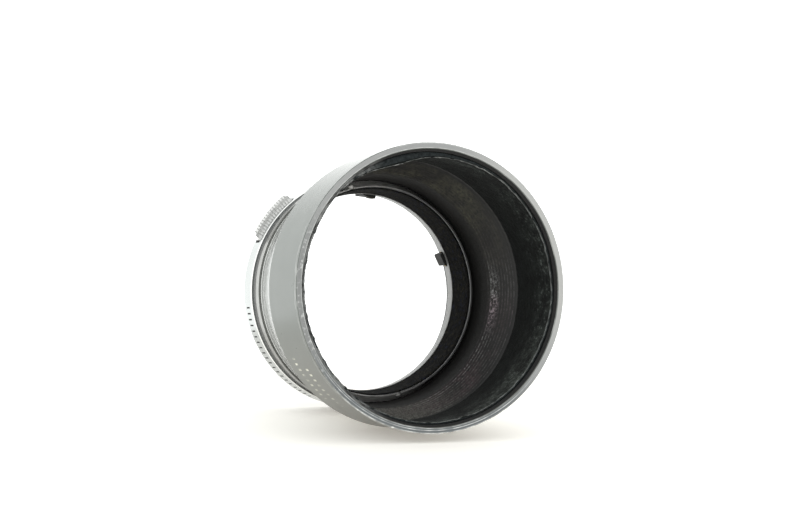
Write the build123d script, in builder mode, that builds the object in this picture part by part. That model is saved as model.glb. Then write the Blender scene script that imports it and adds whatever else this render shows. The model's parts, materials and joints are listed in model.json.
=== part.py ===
from build123d import *
from math import asin, cos, degrees, radians, sin
import os

# Clamp-on lens hood, in millimetres.
# The optical axis is Y: the wide front rim faces -Y and the lens comes in from +Y. Z is up.
# y = 0 is the front end of the four claw notches, at the rear of the land that centres the lens ring.

# ---- Axial stations, front to rear ----
FRONT_Y = -38.6
BEAD_REAR_Y = -37.0
CONE_FRONT_Y = -20.7
RIDGE_REAR_Y = -11.6
BORE_FRONT_Y = -8.4
WEB_FRONT_Y = -5.3
CONE_REAR_Y = -4.1
BARREL_REAR_Y = -2.76
LAND_FRONT_Y = -0.64
LAND_REAR_Y = 0.06
SPACER_REAR_Y = 0.46
HOUSING_FRONT_Y = 1.52
FLANGE_REAR_Y = 2.10
DIVIDER_FRONT_Y = 3.60
DIVIDER_REAR_Y = 3.90
COVER_FRONT_Y = 5.30
REAR_Y = 6.20

# ---- Barrel ----
RIM_OUTER_R = 29.73
RIM_CHAMFER = 0.18
BEAD_TAPER = 0.30
MOUTH_BEVEL = 0.80
RIM_INNER_R = 28.59
TUBE_OUTER_R = 28.88
TUBE_INNER_R = 27.90
CONE_REAR_R = 24.53
CONE_LAND = 0.15
NECK_R = 24.15
FRONT_BORE_R = 23.90
WEB_BORE_R = 23.30
RIDGE_FRONT_R = 27.30
RIDGE_REAR_R = 24.75
RIDGE_DEPTH = 0.40
RIDGE_COUNT = 10
RIDGE_FLANK = 0.25

# ---- Linings ----
LINING_THICKNESS = 0.60
LINING_GAP = 0.05
LINING_SETBACK = 1.60
FELT_OUTER_R = 22.15
FELT_FRONT_R = 21.90
FELT_REAR_R = 21.30
FELT_SETBACK = 0.75

# ---- Mount ring and the rings around it ----
LENS_R = 21.20
SKIRT_REAR_R = 21.30
SKIRT_BEVEL = 0.12
FELT_BORE_R = 22.20
THREAD_BORE_R = 22.75
SPIGOT_R = 23.25
FLANGE_R = 24.00
SPACER_FRONT_R = 24.63
SPACER_REAR_R = 24.36
NECK_SHOULDER = 0.14
SPIGOT_SETBACK = 0.50
PIN_SEAT_DEPTH = 1.00
NOSE_FRONT_R = 22.50
NOSE_REAR_R = 23.75
NOSE_LAND = 0.30
THREAD_GAP = 0.05
SPANNER_SLOT_DEG = 103.0
SPANNER_SLOT_WIDTH = 1.10
SPANNER_SLOT_DEPTH = 1.20
SPANNER_SLOT_LENGTH = 4.0

# ---- Clamp housing ----
HOUSING_R = 24.76
HOUSING_INNER_R = 24.05
SLEEVE_R = 24.35
HOUSING_EDGE = 0.15
COVER_INNER_R = 22.80
COVER_BEVEL = 0.20
COVER_PIN_SEAT = 0.50
DIVIDER_INNER_R = 22.30

# ---- Buttons ----
UPPER_BUTTON_DEG = 139.7
LOWER_BUTTON_DEG = UPPER_BUTTON_DEG + 180
BUTTON_TOP_R = 26.75
CROWN_CORNER_R = 1.10
BUTTON_HALF_WIDTH = 5.70
BUTTON_FRONT_Y = 2.65
BUTTON_REAR_Y = 5.15
WINDOW_HALF_WIDTH = 6.24
WINDOW_FRONT_Y = 2.55
WINDOW_REAR_Y = 5.25
WINDOW_CORNER_R = 0.50
FOOT_HEIGHT = 23.59
WING_INNER_R = 23.20
WING_OUTER_R = 23.90
WING_HALF_DEG = 18.5
DIVIDER_START_DEG = 21.5
RIB_COUNT = 15
RIB_STEP_DEG = 1.55
RIB_ROOT_R = 24.70
RIB_END_R = 27.30
RIB_WIDTH = 0.26
RIB_DEPTH = 0.14

# ---- Claw levers ----
FRONT_LEVEL = (2.20, 3.50)
REAR_LEVEL = (4.00, 5.20)
LEVER_TIP_DEG = 8.5
PIVOT_DEG = 95.0
BOTTOM_PIVOT_DEG = 88.0
PIVOT_R = 23.20
LEVER_THICKNESS = 0.60
LONG_ARM_R = 23.20
SHORT_ARM_R = 22.40
EYE_R = 0.70
PIN_R = 0.28
PIN_HOLE_R = 0.31
CLAW_TIP_R = 20.45
CLAW_BACK_R = 21.15
CLAW_HALF_WIDTH = 1.40
CLAW_HALF_DEG = 3.9
CLAW_CORNER_R = 0.28
CLAW_FRONT_Y = 0.20
CLAW_SLANT = (2.35, 0.25)
HOOK_SLANT = (1.45, 0.55)
HOOK_BACK_R = 21.28
HOOK_REAR_Y = 1.60
LEG_INNER_R = 21.00
FRONT_CLAW_DEG = 120.0
BOTTOM_CLAW_DEG = 112.0
REAR_CLAW_DEG = 124.0
NOTCH_CLEARANCE = 0.30
NOTCH_R = 22.40

# ---- Return springs and pivot pins ----
LEAF_THICKNESS = 0.12
LEAF_WIDTH = 1.0
LEAF_FROM_PIVOT_DEG = 15.0
LEAF_HALF_DEG = 8.0
LEAF_GAP = 0.03
PIN_END_GAP = 0.05

# ---- Small screws ----
SCREW_R = 0.40
SCREW_HOLE_R = 0.42
SCREW_SEAT_R = 23.35
SCREW_SLOT_WIDTH = 0.16
SCREW_SLOT_DEPTH = 0.20
SCREW_RECESS = 0.04
HOUSING_SCREW_Y = 1.00
COVER_SCREW_Y = 5.75
HOUSING_SCREW_ANGLES = (20, 140, 260)
COVER_SCREW_ANGLES = (0, 90, 270)

# Length by which a cutter stands clear of the surface it starts from
CLEAR = 1.0


def cross_plane(y):
    """Plane across the optical axis at y, with local x along X and local y along Z."""
    return Plane(origin=(0, y, 0), x_dir=(1, 0, 0), z_dir=(0, -1, 0))


def radial_plane(angle, y):
    """Plane whose normal points straight out from the optical axis at this angle."""
    out = (cos(radians(angle)), 0, sin(radians(angle)))
    return Plane(origin=(0, y, 0), x_dir=(0, 1, 0), z_dir=out)


def polar(radius, angle):
    """Point at this radius and angle, in a cross plane."""
    return radius * cos(radians(angle)), radius * sin(radians(angle))


def outline(points):
    """Closed (radius, y) outline, to be revolved about the optical axis."""
    with BuildSketch(Plane.XY) as sketch:
        with BuildLine():
            Polyline(*points, close=True)
        make_face()
    return sketch.sketch


def ring_sector(inner_r, outer_r, start, end):
    """Face between two radii and two angles."""
    with BuildSketch(Plane.XY) as sketch:
        with BuildLine():
            outer = CenterArc((0, 0), outer_r, start, end - start)
            inner = CenterArc((0, 0), inner_r, start, end - start)
            Line(outer @ 0, inner @ 0)
            Line(outer @ 1, inner @ 1)
        make_face()
    return sketch.sketch


def screw_bores(angles, y):
    """Cutter for the radial screw holes at these angles."""
    with BuildPart() as cutter:
        for angle in angles:
            with BuildSketch(radial_plane(angle, y).offset(SCREW_SEAT_R)):
                Circle(SCREW_HOLE_R)
            extrude(amount=HOUSING_R + CLEAR - SCREW_SEAT_R)
    return cutter.part


def claw_angles():
    """Angle of each claw about the optical axis."""
    return (
        UPPER_BUTTON_DEG - FRONT_CLAW_DEG,
        UPPER_BUTTON_DEG + BOTTOM_CLAW_DEG,
        LOWER_BUTTON_DEG - REAR_CLAW_DEG,
        LOWER_BUTTON_DEG + REAR_CLAW_DEG,
    )


def front_pivots():
    """Angles of the two pivots in front of the divider plates."""
    return UPPER_BUTTON_DEG - PIVOT_DEG, UPPER_BUTTON_DEG + BOTTOM_PIVOT_DEG


def rear_pivots():
    """Angles of the two pivots behind the divider plates."""
    return LOWER_BUTTON_DEG - PIVOT_DEG, LOWER_BUTTON_DEG + PIVOT_DEG


def save(piece, name):
    """Label one finished piece and write its STEP file."""
    piece.part.label = name
    export_step(piece.part, f"parts/{name}.step")


os.makedirs("parts", exist_ok=True)

# ---- Barrel: rim bead, straight tube, cone with light-trap ridges, neck and inner web ----
ridge_pitch = (RIDGE_REAR_Y - CONE_FRONT_Y) / RIDGE_COUNT
ridge_step = (RIDGE_FRONT_R - RIDGE_REAR_R) / RIDGE_COUNT
ridges = []
for i in range(RIDGE_COUNT):
    crest_y = CONE_FRONT_Y + i * ridge_pitch
    crest_r = RIDGE_FRONT_R - i * ridge_step
    ridges.append((crest_r, crest_y))
    ridges.append((crest_r + RIDGE_DEPTH, crest_y + RIDGE_FLANK * ridge_pitch))

barrel_outline = [
    (RIM_INNER_R, FRONT_Y),
    (RIM_OUTER_R - RIM_CHAMFER, FRONT_Y),
    (RIM_OUTER_R, FRONT_Y + RIM_CHAMFER),
    (RIM_OUTER_R, BEAD_REAR_Y - BEAD_TAPER),
    (TUBE_OUTER_R, BEAD_REAR_Y),
    (TUBE_OUTER_R, CONE_FRONT_Y),
    (CONE_REAR_R, CONE_REAR_Y - CONE_LAND),
    (CONE_REAR_R, CONE_REAR_Y),
    (NECK_R, CONE_REAR_Y),
    (NECK_R, BARREL_REAR_Y),
    (WEB_BORE_R, BARREL_REAR_Y),
    (WEB_BORE_R, WEB_FRONT_Y),
    (FRONT_BORE_R, WEB_FRONT_Y),
    (FRONT_BORE_R, BORE_FRONT_Y),
    (RIDGE_REAR_R, RIDGE_REAR_Y),
    *reversed(ridges),
    (TUBE_INNER_R, CONE_FRONT_Y - (TUBE_INNER_R - RIDGE_FRONT_R) / 2),
    (TUBE_INNER_R, FRONT_Y + MOUTH_BEVEL),
]
with BuildPart() as barrel:
    revolve(outline(barrel_outline), axis=Axis.Y)
save(barrel, "barrel")

# ---- Velvet sleeve glued inside the straight tube ----
lining_outer_r = TUBE_INNER_R - LINING_GAP
lining_inner_r = lining_outer_r - LINING_THICKNESS
lining_front_y = FRONT_Y + LINING_SETBACK
lining_rear_y = CONE_FRONT_Y - (TUBE_INNER_R - RIDGE_FRONT_R)
with BuildPart() as velvet_lining:
    profile = outline(
        [
            (lining_inner_r, lining_front_y),
            (lining_outer_r, lining_front_y),
            (lining_outer_r, lining_rear_y),
            (lining_inner_r, lining_rear_y),
        ]
    )
    revolve(profile, axis=Axis.Y)
save(velvet_lining, "velvet_lining")

# ---- Bare metal spacer ring between the barrel and the clamp ----
with BuildPart() as spacer_ring:
    profile = outline(
        [
            (WEB_BORE_R, BARREL_REAR_Y),
            (SPACER_FRONT_R, BARREL_REAR_Y),
            (SPACER_REAR_R, SPACER_REAR_Y),
            (WEB_BORE_R, SPACER_REAR_Y),
        ]
    )
    revolve(profile, axis=Axis.Y)
save(spacer_ring, "spacer_ring")

# ---- Mount ring: threaded spigot, lens bore land with claw notches, flange behind the spacer ----
neck_rear_y = BARREL_REAR_Y - NECK_SHOULDER
spigot_front_y = WEB_FRONT_Y + SPIGOT_SETBACK
with BuildPart() as mount_ring:
    profile = outline(
        [
            (THREAD_BORE_R, spigot_front_y),
            (SPIGOT_R, spigot_front_y),
            (SPIGOT_R, SPACER_REAR_Y),
            (FLANGE_R, SPACER_REAR_Y),
            (FLANGE_R, FLANGE_REAR_Y),
            (SKIRT_REAR_R + SKIRT_BEVEL, FLANGE_REAR_Y),
            (SKIRT_REAR_R, FLANGE_REAR_Y - SKIRT_BEVEL),
            (LENS_R, LAND_REAR_Y),
            (LENS_R, LAND_FRONT_Y),
            (FELT_BORE_R, LAND_FRONT_Y),
            (FELT_BORE_R, neck_rear_y),
            (THREAD_BORE_R, neck_rear_y),
        ]
    )
    revolve(profile, axis=Axis.Y)
    notch_width = 2 * (CLAW_HALF_WIDTH + NOTCH_CLEARANCE)
    notch_depth = NOTCH_R - CLAW_TIP_R
    with BuildSketch(cross_plane(0)):
        for angle in claw_angles():
            with Locations(polar(CLAW_TIP_R + notch_depth / 2, angle)):
                Rectangle(notch_depth, notch_width, rotation=angle)
    extrude(amount=-(FLANGE_REAR_Y + CLEAR), mode=Mode.SUBTRACT)
    with BuildSketch(cross_plane(FLANGE_REAR_Y - PIN_SEAT_DEPTH)):
        for angle in front_pivots():
            with Locations(polar(PIVOT_R, angle)):
                Circle(PIN_HOLE_R)
    extrude(amount=-(PIN_SEAT_DEPTH + CLEAR), mode=Mode.SUBTRACT)
    add(screw_bores(HOUSING_SCREW_ANGLES, HOUSING_SCREW_Y), mode=Mode.SUBTRACT)
save(mount_ring, "mount_ring")

# ---- Retaining ring: conical nose with two spanner slots, neck screwed into the mount ring ----
thread_r = THREAD_BORE_R - THREAD_GAP
with BuildPart() as retaining_ring:
    profile = outline(
        [
            (FELT_BORE_R, BORE_FRONT_Y),
            (NOSE_FRONT_R, BORE_FRONT_Y),
            (NOSE_REAR_R, WEB_FRONT_Y - NOSE_LAND),
            (NOSE_REAR_R, WEB_FRONT_Y),
            (thread_r, WEB_FRONT_Y),
            (thread_r, neck_rear_y),
            (FELT_BORE_R, neck_rear_y),
        ]
    )
    revolve(profile, axis=Axis.Y)
    with BuildSketch(cross_plane(BORE_FRONT_Y)):
        for angle in (SPANNER_SLOT_DEG, SPANNER_SLOT_DEG + 180):
            with Locations(polar(FRONT_BORE_R, angle)):
                Rectangle(SPANNER_SLOT_LENGTH, SPANNER_SLOT_WIDTH, rotation=angle)
    extrude(amount=-SPANNER_SLOT_DEPTH, mode=Mode.SUBTRACT)
save(retaining_ring, "retaining_ring")

# ---- Felt ring glued in the bore in front of the lens land ----
felt_front_y = BORE_FRONT_Y + FELT_SETBACK
felt_rear_y = LAND_FRONT_Y - LINING_GAP
with BuildPart() as felt_ring:
    profile = outline(
        [
            (FELT_FRONT_R, felt_front_y),
            (FELT_OUTER_R, felt_front_y),
            (FELT_OUTER_R, felt_rear_y),
            (FELT_REAR_R, felt_rear_y),
        ]
    )
    revolve(profile, axis=Axis.Y)
save(felt_ring, "felt_ring")

# ---- Clamp housing: thin front sleeve, bright band, two windows for the buttons ----
with BuildPart() as clamp_housing:
    profile = outline(
        [
            (HOUSING_INNER_R, SPACER_REAR_Y),
            (SLEEVE_R, SPACER_REAR_Y),
            (SLEEVE_R, HOUSING_FRONT_Y),
            (HOUSING_R - HOUSING_EDGE, HOUSING_FRONT_Y),
            (HOUSING_R, HOUSING_FRONT_Y + HOUSING_EDGE),
            (HOUSING_R, REAR_Y - 2 * HOUSING_EDGE),
            (HOUSING_R - 2 * HOUSING_EDGE, REAR_Y),
            (HOUSING_INNER_R, REAR_Y),
        ]
    )
    revolve(profile, axis=Axis.Y)
    window_y = (WINDOW_FRONT_Y + WINDOW_REAR_Y) / 2
    window_length = WINDOW_REAR_Y - WINDOW_FRONT_Y
    for angle in (UPPER_BUTTON_DEG, LOWER_BUTTON_DEG):
        with BuildSketch(radial_plane(angle, window_y)):
            RectangleRounded(window_length, 2 * WINDOW_HALF_WIDTH, WINDOW_CORNER_R)
        extrude(amount=HOUSING_R + CLEAR, mode=Mode.SUBTRACT)
    add(screw_bores(HOUSING_SCREW_ANGLES, HOUSING_SCREW_Y), mode=Mode.SUBTRACT)
    add(screw_bores(COVER_SCREW_ANGLES, COVER_SCREW_Y), mode=Mode.SUBTRACT)
save(clamp_housing, "clamp_housing")

# ---- Rear cover: closes the housing behind the levers ----
with BuildPart() as rear_cover:
    profile = outline(
        [
            (COVER_INNER_R, COVER_FRONT_Y),
            (FLANGE_R, COVER_FRONT_Y),
            (FLANGE_R, REAR_Y),
            (COVER_INNER_R + COVER_BEVEL, REAR_Y),
            (COVER_INNER_R, REAR_Y - COVER_BEVEL),
        ]
    )
    revolve(profile, axis=Axis.Y)
    with BuildSketch(cross_plane(COVER_FRONT_Y)):
        for angle in rear_pivots():
            with Locations(polar(PIVOT_R, angle)):
                Circle(PIN_HOLE_R)
    extrude(amount=-COVER_PIN_SEAT, mode=Mode.SUBTRACT)
    add(screw_bores(COVER_SCREW_ANGLES, COVER_SCREW_Y), mode=Mode.SUBTRACT)
save(rear_cover, "rear_cover")


# ---- Divider plates: keep the front and rear pairs of levers apart and hold the pivot pins ----
def divider_plate(start, end):
    """Flat arc between the two lever levels, with one pin hole for each level."""
    with BuildPart() as plate:
        with BuildSketch(cross_plane(DIVIDER_FRONT_Y)):
            add(ring_sector(DIVIDER_INNER_R, FLANGE_R, start, end))
            for angle in front_pivots() + rear_pivots():
                with Locations(polar(PIVOT_R, angle)):
                    Circle(PIN_HOLE_R, mode=Mode.SUBTRACT)
        extrude(amount=-(DIVIDER_REAR_Y - DIVIDER_FRONT_Y))
    return plate


divider_left = divider_plate(
    UPPER_BUTTON_DEG + DIVIDER_START_DEG,
    LOWER_BUTTON_DEG - DIVIDER_START_DEG,
)
save(divider_left, "divider_left")
divider_right = divider_plate(
    LOWER_BUTTON_DEG + DIVIDER_START_DEG - 360,
    UPPER_BUTTON_DEG - DIVIDER_START_DEG,
)
save(divider_right, "divider_right")


def is_on_crown(edge):
    """True for a button edge that lies at the crown's radius."""
    middle = edge @ 0.5
    return abs(Vector(middle.X, 0, middle.Z).length - BUTTON_TOP_R) < 0.01


# ---- Push buttons: ribbed tab through the window, flat foot on the lever tips, two retaining wings ----
def push_button(angle, foot_level, wing_level):
    """One button: the foot presses the levers of foot_level, and the wings run in wing_level."""
    half_deg = degrees(asin(BUTTON_HALF_WIDTH / BUTTON_TOP_R))
    with BuildPart() as button:
        with BuildSketch(cross_plane(BUTTON_FRONT_Y)):
            with BuildLine():
                crown = CenterArc((0, 0), BUTTON_TOP_R, angle - half_deg, 2 * half_deg)
                base_mid = Vector(*polar(FOOT_HEIGHT, angle))
                side = Vector(*polar(BUTTON_HALF_WIDTH, angle + 90))
                Polyline(crown @ 0, base_mid - side, base_mid + side, crown @ 1)
            make_face()
        extrude(amount=-(BUTTON_REAR_Y - BUTTON_FRONT_Y))
        crown_corners = button.edges().filter_by(Axis.Y).filter_by(is_on_crown)
        fillet(crown_corners, radius=CROWN_CORNER_R)
        with BuildSketch(cross_plane(BUTTON_FRONT_Y)):
            for i in range(RIB_COUNT):
                rib_angle = angle + (i - (RIB_COUNT - 1) / 2) * RIB_STEP_DEG
                with Locations(polar((RIB_ROOT_R + RIB_END_R) / 2, rib_angle)):
                    Rectangle(RIB_END_R - RIB_ROOT_R, RIB_WIDTH, rotation=rib_angle)
        extrude(amount=-RIB_DEPTH, mode=Mode.SUBTRACT)
        with BuildSketch(cross_plane(wing_level[0])):
            add(ring_sector(WING_INNER_R, WING_OUTER_R, angle - WING_HALF_DEG, angle + WING_HALF_DEG))
        extrude(amount=-(wing_level[1] - wing_level[0]))
    return button


upper_button = push_button(UPPER_BUTTON_DEG, FRONT_LEVEL, (REAR_LEVEL[0], BUTTON_REAR_Y))
save(upper_button, "upper_button")
lower_button = push_button(LOWER_BUTTON_DEG, REAR_LEVEL, (BUTTON_FRONT_Y, FRONT_LEVEL[1]))
save(lower_button, "lower_button")


# ---- Claw levers: long arm under the button, eye on the pivot pin, short arm with the claw ----
def is_near_tip(corner):
    """True for a corner of a claw's face that the lens ring could touch."""
    return Vector(corner.X, corner.Y).length < CLAW_TIP_R + 2 * CLAW_CORNER_R


def claw_face(angle, side, back_r, slant):
    """Claw seen along the axis: slant is the width and depth of its ramp towards the lever's end."""
    out = Vector(cos(radians(angle)), sin(radians(angle)))
    along = Vector(-out.Y, out.X) * side
    corners = (
        (back_r, -CLAW_HALF_WIDTH),
        (CLAW_TIP_R, -CLAW_HALF_WIDTH),
        (CLAW_TIP_R, CLAW_HALF_WIDTH - slant[0]),
        (CLAW_TIP_R + slant[1], CLAW_HALF_WIDTH),
        (back_r, CLAW_HALF_WIDTH),
    )
    with BuildSketch(Plane.XY) as sketch:
        with BuildLine():
            Polyline(*(out * radius + along * place for radius, place in corners), close=True)
        make_face()
        fillet(sketch.vertices().filter_by(is_near_tip), radius=CLAW_CORNER_R)
    return sketch.sketch


def claw_lever(button, side, level, pivot_deg, claw_deg, hooked):
    """One lever. side is +1 or -1, the way it runs round from its button."""
    tip = button + side * LEVER_TIP_DEG
    pivot = button + side * pivot_deg
    claw = button + side * claw_deg
    end = claw + side * CLAW_HALF_DEG
    short_arm_mid_r = SHORT_ARM_R + LEVER_THICKNESS / 2
    block_r = LEG_INNER_R if hooked else CLAW_BACK_R - CLAW_CORNER_R
    with BuildPart() as lever:
        with BuildSketch(cross_plane(level[0])):
            add(ring_sector(LONG_ARM_R, LONG_ARM_R + LEVER_THICKNESS, tip, pivot))
            add(ring_sector(SHORT_ARM_R, SHORT_ARM_R + LEVER_THICKNESS, pivot, end))
            with Locations(polar(PIVOT_R, pivot)):
                Circle(EYE_R)
            with Locations(polar((block_r + short_arm_mid_r) / 2, claw)):
                Rectangle(short_arm_mid_r - block_r, 2 * CLAW_HALF_WIDTH, rotation=claw)
            with Locations(polar(PIVOT_R, pivot)):
                Circle(PIN_HOLE_R, mode=Mode.SUBTRACT)
        extrude(amount=-(level[1] - level[0]))
        if hooked:
            with BuildSketch(cross_plane(CLAW_FRONT_Y)):
                with Locations(polar((LEG_INNER_R + HOOK_BACK_R) / 2, claw)):
                    Rectangle(HOOK_BACK_R - LEG_INNER_R, 2 * CLAW_HALF_WIDTH, rotation=claw)
            extrude(amount=-(level[1] - CLAW_FRONT_Y))
            with BuildSketch(cross_plane(CLAW_FRONT_Y)):
                add(claw_face(claw, side, HOOK_BACK_R, HOOK_SLANT))
            extrude(amount=-(HOOK_REAR_Y - CLAW_FRONT_Y))
        else:
            with BuildSketch(cross_plane(CLAW_FRONT_Y)):
                add(claw_face(claw, side, CLAW_BACK_R, CLAW_SLANT))
            extrude(amount=-(level[1] - CLAW_FRONT_Y))
    return lever


front_lever_right = claw_lever(UPPER_BUTTON_DEG, -1, FRONT_LEVEL, PIVOT_DEG, FRONT_CLAW_DEG, False)
save(front_lever_right, "front_lever_right")
front_lever_bottom = claw_lever(
    UPPER_BUTTON_DEG, 1, FRONT_LEVEL, BOTTOM_PIVOT_DEG, BOTTOM_CLAW_DEG, False
)
save(front_lever_bottom, "front_lever_bottom")
rear_lever_left = claw_lever(LOWER_BUTTON_DEG, -1, REAR_LEVEL, PIVOT_DEG, REAR_CLAW_DEG, True)
save(rear_lever_left, "rear_lever_left")
rear_lever_top = claw_lever(LOWER_BUTTON_DEG, 1, REAR_LEVEL, PIVOT_DEG, REAR_CLAW_DEG, True)
save(rear_lever_top, "rear_lever_top")


# ---- Return springs: bowed leaves between each short arm and the housing wall ----
def return_spring(pivot, side, level):
    """Leaf spring: its ends lie on the housing wall and its middle presses on the short arm."""
    middle = pivot + side * LEAF_FROM_PIVOT_DEG
    wall_r = HOUSING_INNER_R - LEAF_GAP - LEAF_THICKNESS
    arm_r = SHORT_ARM_R + LEVER_THICKNESS + LEAF_GAP
    leaf_front_y = (level[0] + level[1] - LEAF_WIDTH) / 2
    with BuildPart() as spring:
        with BuildSketch(cross_plane(leaf_front_y)):
            with BuildLine():
                outer = ThreePointArc(
                    polar(wall_r + LEAF_THICKNESS, middle - LEAF_HALF_DEG),
                    polar(arm_r + LEAF_THICKNESS, middle),
                    polar(wall_r + LEAF_THICKNESS, middle + LEAF_HALF_DEG),
                )
                inner = ThreePointArc(
                    polar(wall_r, middle - LEAF_HALF_DEG),
                    polar(arm_r, middle),
                    polar(wall_r, middle + LEAF_HALF_DEG),
                )
                Line(outer @ 0, inner @ 0)
                Line(outer @ 1, inner @ 1)
            make_face()
        extrude(amount=-LEAF_WIDTH)
    return spring


front_spring_right = return_spring(front_pivots()[0], -1, FRONT_LEVEL)
save(front_spring_right, "front_spring_right")
front_spring_bottom = return_spring(front_pivots()[1], 1, FRONT_LEVEL)
save(front_spring_bottom, "front_spring_bottom")
rear_spring_left = return_spring(rear_pivots()[0], -1, REAR_LEVEL)
save(rear_spring_left, "rear_spring_left")
rear_spring_top = return_spring(rear_pivots()[1], 1, REAR_LEVEL)
save(rear_spring_top, "rear_spring_top")

# ---- Pivot pins: two from the mount ring to the dividers, two from the dividers to the cover ----
with BuildPart() as pivot_pins:
    front_pin_y = FLANGE_REAR_Y - PIN_SEAT_DEPTH + PIN_END_GAP
    with BuildSketch(cross_plane(front_pin_y)):
        for angle in front_pivots():
            with Locations(polar(PIVOT_R, angle)):
                Circle(PIN_R)
    extrude(amount=-(DIVIDER_REAR_Y - front_pin_y))
    rear_pin_end_y = COVER_FRONT_Y + COVER_PIN_SEAT - PIN_END_GAP
    with BuildSketch(cross_plane(DIVIDER_FRONT_Y)):
        for angle in rear_pivots():
            with Locations(polar(PIVOT_R, angle)):
                Circle(PIN_R)
    extrude(amount=-(rear_pin_end_y - DIVIDER_FRONT_Y))
save(pivot_pins, "pivot_pins")


# ---- Slotted grub screws: one set holds the housing on the mount ring, one holds the cover ----
def grub_screws(angles, y, outer_r):
    """Radial slotted screws at these angles, from their seats to just below outer_r."""
    top_r = outer_r - SCREW_RECESS
    with BuildPart() as screws:
        for angle in angles:
            with BuildSketch(radial_plane(angle, y).offset(SCREW_SEAT_R)):
                Circle(SCREW_R)
            extrude(amount=top_r - SCREW_SEAT_R)
            with BuildSketch(radial_plane(angle, y).offset(top_r - SCREW_SLOT_DEPTH)):
                Rectangle(SCREW_SLOT_WIDTH, 2 * SCREW_R + CLEAR)
            extrude(amount=CLEAR, mode=Mode.SUBTRACT)
    return screws


housing_screws = grub_screws(HOUSING_SCREW_ANGLES, HOUSING_SCREW_Y, SLEEVE_R)
save(housing_screws, "housing_screws")
cover_screws = grub_screws(COVER_SCREW_ANGLES, COVER_SCREW_Y, HOUSING_R)
save(cover_screws, "cover_screws")
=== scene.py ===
import json
import math
import random

import bpy
from mathutils import Matrix, Vector, noise


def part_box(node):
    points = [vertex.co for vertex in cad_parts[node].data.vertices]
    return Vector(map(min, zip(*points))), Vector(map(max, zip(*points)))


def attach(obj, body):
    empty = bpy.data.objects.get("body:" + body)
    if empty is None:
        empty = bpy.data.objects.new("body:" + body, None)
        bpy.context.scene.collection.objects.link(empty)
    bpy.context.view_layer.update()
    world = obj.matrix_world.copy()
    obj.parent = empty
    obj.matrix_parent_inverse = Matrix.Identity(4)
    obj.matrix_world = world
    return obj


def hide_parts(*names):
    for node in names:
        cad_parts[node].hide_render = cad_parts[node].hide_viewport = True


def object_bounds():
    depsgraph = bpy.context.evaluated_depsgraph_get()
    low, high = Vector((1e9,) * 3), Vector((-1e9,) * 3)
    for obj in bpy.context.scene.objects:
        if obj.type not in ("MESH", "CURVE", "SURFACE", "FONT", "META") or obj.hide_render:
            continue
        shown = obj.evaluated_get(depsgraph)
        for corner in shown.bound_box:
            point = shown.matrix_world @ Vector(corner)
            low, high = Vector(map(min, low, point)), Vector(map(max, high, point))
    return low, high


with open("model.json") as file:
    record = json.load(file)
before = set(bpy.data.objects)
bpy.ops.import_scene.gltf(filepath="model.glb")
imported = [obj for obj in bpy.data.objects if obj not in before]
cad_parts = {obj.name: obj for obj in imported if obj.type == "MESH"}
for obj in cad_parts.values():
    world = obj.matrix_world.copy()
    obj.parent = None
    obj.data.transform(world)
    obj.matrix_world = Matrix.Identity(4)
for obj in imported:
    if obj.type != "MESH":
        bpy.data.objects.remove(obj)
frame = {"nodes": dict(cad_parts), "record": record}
cad_low, cad_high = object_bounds()

# The optical axis is Y and the wide mouth faces -Y. Sizes are in metres, angles run from +X towards +Z.
MM = 0.001

# ---- Barrel ----
FRONT_Y = cad_low.y
BEAD_TAPER_Y = -37.30 * MM
CONE_FRONT_Y = -20.7 * MM
RIDGE_REAR_Y = -11.6 * MM
CONE_REAR_Y = -4.1 * MM
RIM_R = cad_high.x
RIM_INNER_R = 28.59 * MM
TUBE_R = 28.88 * MM
CONE_REAR_R = 24.53 * MM
RIDGE_COUNT = 10
# The middle of the wall, which parts outside from inside: its radius in the tube, and what the cone takes
# off that for each unit of depth
WALL_MIDDLE_R = 28.4 * MM
CONE_SLOPE = 0.2644

# Plain strokes on the tube, in two rows: (front end, first and last angle in degrees)
STROKE_LENGTH = 1.3 * MM
STROKE_STEP_DEG = 2.7
STROKE_ROWS = ((-25.4 * MM, 209.0, 231.0), (-29.4 * MM, 213.0, 236.0))

# ---- Linings ----
LINING_OUTER_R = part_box("velvet_lining")[1].x
LINING_REAR_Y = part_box("velvet_lining")[1].y
CLOTH_R = 27.32 * MM
FELT_FRONT_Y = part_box("felt_ring")[0].y
FELT_REAR_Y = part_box("felt_ring")[1].y
FELT_OUTER_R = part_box("felt_ring")[1].x

# ---- Nose and lens bore ----
NOSE_FRONT_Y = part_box("retaining_ring")[0].y
WEB_FRONT_Y = -5.3 * MM
NOSE_FRONT_R = 22.50 * MM
LENS_R = 21.20 * MM
# The bare metal is darker behind this place.
DARKER_FROM_Y = -0.40 * MM

# ---- Clamp ----
BAND_FRONT_Y = 1.52 * MM
BAND_R = 24.76 * MM
# Run of plain graduation lines
SCALE_FRONT_Y = 3.10 * MM
SCALE_REAR_Y = 4.90 * MM
SCALE_STEP_DEG = 3.0
SCALE_START_DEG = 186.0
SCALE_END_DEG = 246.0
BUTTON_FRONT_Y = 2.65 * MM
BUTTON_REAR_Y = 5.15 * MM
BUTTON_TOP_R = 26.75 * MM
BUTTON_DEG = 139.7
RIB_STEP_DEG = 1.55
CLAW_TIP_R = 20.45 * MM

# ---- Stage ----
# The hood lies on the front corner of its cone and on the rear corner of its clamp: (y, z) of both.
FRONT_CONTACT = (CONE_FRONT_Y, -TUBE_R)
REAR_CONTACT = (5.9 * MM, -BAND_R)
TABLE_HALF_WIDTH = 0.6
TABLE_FRONT_Y = -0.8
TABLE_REAR_Y = 0.05

CAMERA_PLACE = Vector((-0.2287, -0.5623, -0.0110))
CAMERA_LOOK = Vector((0.3870, 0.9217, 0.0288)).normalized()
CAMERA_UP = Vector((0.0, -0.0312, 0.9995))
CAMERA_SENSOR = 36.0
CAMERA_LENS = 128.75


# ---- Shader building ----
RANGE_SOCKETS = ("From Min", "From Max", "To Min", "To Max")


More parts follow.
